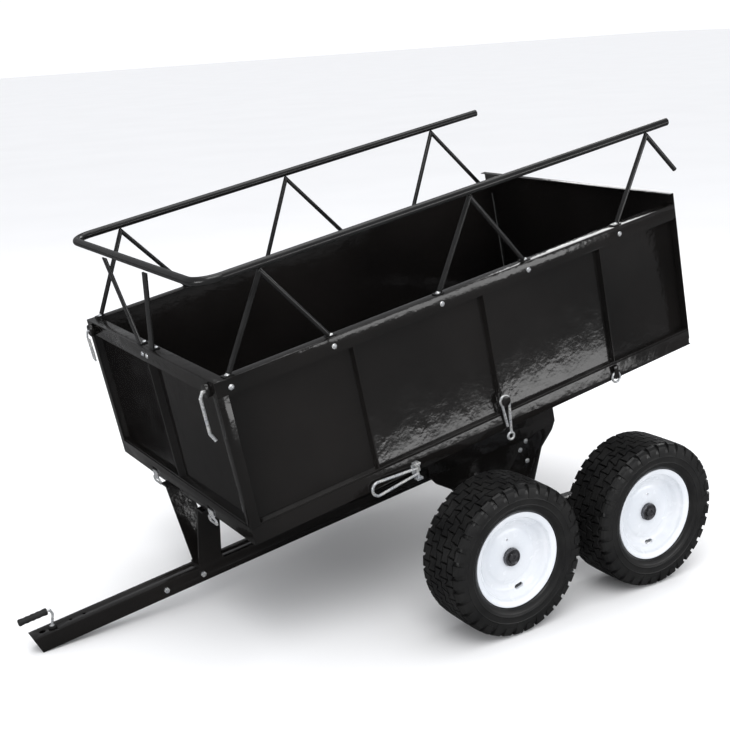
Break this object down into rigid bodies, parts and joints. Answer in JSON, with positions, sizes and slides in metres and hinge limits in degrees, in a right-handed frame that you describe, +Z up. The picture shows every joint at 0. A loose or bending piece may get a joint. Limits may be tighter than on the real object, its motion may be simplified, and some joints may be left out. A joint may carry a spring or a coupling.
{
  "type": "tow behind cart",
  "caption": "Steel cart bed with a guard rail and drop tailgate that tips on a cross axle, with a straight tongue and tandem wheels on rocking beams.",
  "frame": {"origin": "ground under the middle of the whole cart, with the tongue's tip and all four tyres on the ground", "axes": "+X forward to the hitch, +Y to the cart's left, +Z up; the bed noses down by about 9 degrees"},
  "size_m": [1.8032, 1.304, 1.1316],
  "materials": {
    "gloss_black": "gloss",
    "satin_black": "satin",
    "white_paint": "gloss",
    "zinc": "bright zinc plate",
    "bare_steel": "turned",
    "hub_steel": "dark",
    "rubber": "matt",
    "tyre": "matt"
  },
  "bodies": {
    "chassis": {"tongue_tube": "gloss_black", "cross_tube": "gloss_black", "cross_axle": "bare_steel", "axle_collars": "zinc", "axle_nuts": "zinc", "front_stand": "gloss_black", "stand_pads": "rubber", "stand_bolts": "zinc", "tongue_bolts": "zinc"},
    "hitch_pin": {"hitch_pin": "zinc", "hitch_grip": "rubber", "hitch_clip": "rubber"},
    "bed": {"tray": "gloss_black", "floor_channels": "gloss_black", "left_wall": "gloss_black", "right_wall": "gloss_black", "front_wall": "gloss_black", "left_top_angle": "gloss_black", "right_top_angle": "gloss_black", "front_top_angle": "gloss_black", "corner_angles": "gloss_black", "top_rail": "satin_black", "left_struts": "satin_black", "right_struts": "satin_black", "front_struts": "satin_black", "rail_bolts": "zinc", "hangers": "gloss_black", "hanger_bushes": "bare_steel", "hanger_bolts": "zinc", "pin_sockets": "gloss_black", "edge_hooks": "zinc", "bail_keeper": "zinc", "side_pegs": "gloss_black", "tailgate_hinges": "gloss_black", "tailgate_pin": "bare_steel"},
    "left_corner_pin": {"left_corner_pin": "zinc"},
    "right_corner_pin": {"right_corner_pin": "zinc"},
    "bail": {"bail": "zinc"},
    "hook_pin": {"hook_pin": "zinc"},
    "ring_pin": {"ring_pin": "zinc"},
    "tailgate": {"tailgate": "gloss_black"},
    "left_beam": {"left_beam": "gloss_black", "beam_bushes_left": "bare_steel", "left_spindles": "zinc"},
    "right_beam": {"right_beam": "gloss_black", "beam_bushes_right": "bare_steel", "right_spindles": "zinc"},
    "front_left_wheel": {"front_left_tyre": "tyre", "front_left_rim": "white_paint", "front_left_hub": "hub_steel"},
    "front_right_wheel": {"front_right_tyre": "tyre", "front_right_rim": "white_paint", "front_right_hub": "hub_steel"},
    "rear_left_wheel": {"rear_left_tyre": "tyre", "rear_left_rim": "white_paint", "rear_left_hub": "hub_steel"},
    "rear_right_wheel": {"rear_right_tyre": "tyre", "rear_right_rim": "white_paint", "rear_right_hub": "hub_steel"}
  },
  "joints": [
    {"name": "bed_tilt", "type": "hinge", "parent": "chassis", "child": "bed", "pos_m": [-0.31679, 0, 0.187], "axis": [0, -1, 0], "range_deg": [0, 42]},
    {"name": "hitch_pin_lift", "type": "slide", "parent": "chassis", "child": "hitch_pin", "axis": [0.1407, 0, 0.99], "range_m": [0, 0.07]},
    {"name": "tailgate_drop", "type": "hinge", "parent": "bed", "child": "tailgate", "pos_m": [-0.89462, 0, 0.52584], "axis": [0, -1, 0], "range_deg": [0, 100]},
    {"name": "left_corner_pin_pull", "type": "slide", "parent": "bed", "child": "left_corner_pin", "axis": [0.9869, 0, -0.1616], "range_m": [0, 0.03]},
    {"name": "right_corner_pin_pull", "type": "slide", "parent": "bed", "child": "right_corner_pin", "axis": [0.9869, 0, -0.1616], "range_m": [0, 0.03]},
    {"name": "bail_swing", "type": "hinge", "parent": "bed", "child": "bail", "pos_m": [0.01971, 0.417, 0.37306], "axis": [0.1616, 0, 0.9869], "range_deg": [0, 100]},
    {"name": "hook_pin_swing", "type": "hinge", "parent": "bed", "child": "hook_pin", "pos_m": [-0.24663, 0.415, 0.49167], "axis": [0, 1, 0], "range_deg": [-25, 25]},
    {"name": "ring_swing", "type": "hinge", "parent": "bed", "child": "ring_pin", "pos_m": [-0.61567, 0.4113, 0.47813], "axis": [0, 1, 0], "range_deg": [-60, 60]},
    {"name": "left_beam_rock", "type": "hinge", "parent": "chassis", "child": "left_beam", "pos_m": [-0.31679, 0.454, 0.187], "axis": [0, 1, 0], "range_deg": [-14, 14]},
    {"name": "right_beam_rock", "type": "hinge", "parent": "chassis", "child": "right_beam", "pos_m": [-0.31679, -0.454, 0.187], "axis": [0, 1, 0], "range_deg": [-14, 14]},
    {"name": "front_left_wheel_spin", "type": "hinge", "parent": "left_beam", "child": "front_left_wheel", "pos_m": [-0.10029, 0.582, 0.187], "axis": [0, 1, 0], "continuous": true},
    {"name": "front_right_wheel_spin", "type": "hinge", "parent": "right_beam", "child": "front_right_wheel", "pos_m": [-0.10029, -0.582, 0.187], "axis": [0, 1, 0], "continuous": true},
    {"name": "rear_left_wheel_spin", "type": "hinge", "parent": "left_beam", "child": "rear_left_wheel", "pos_m": [-0.53329, 0.582, 0.187], "axis": [0, 1, 0], "continuous": true},
    {"name": "rear_right_wheel_spin", "type": "hinge", "parent": "right_beam", "child": "rear_right_wheel", "pos_m": [-0.53329, -0.582, 0.187], "axis": [0, 1, 0], "continuous": true}
  ]
}
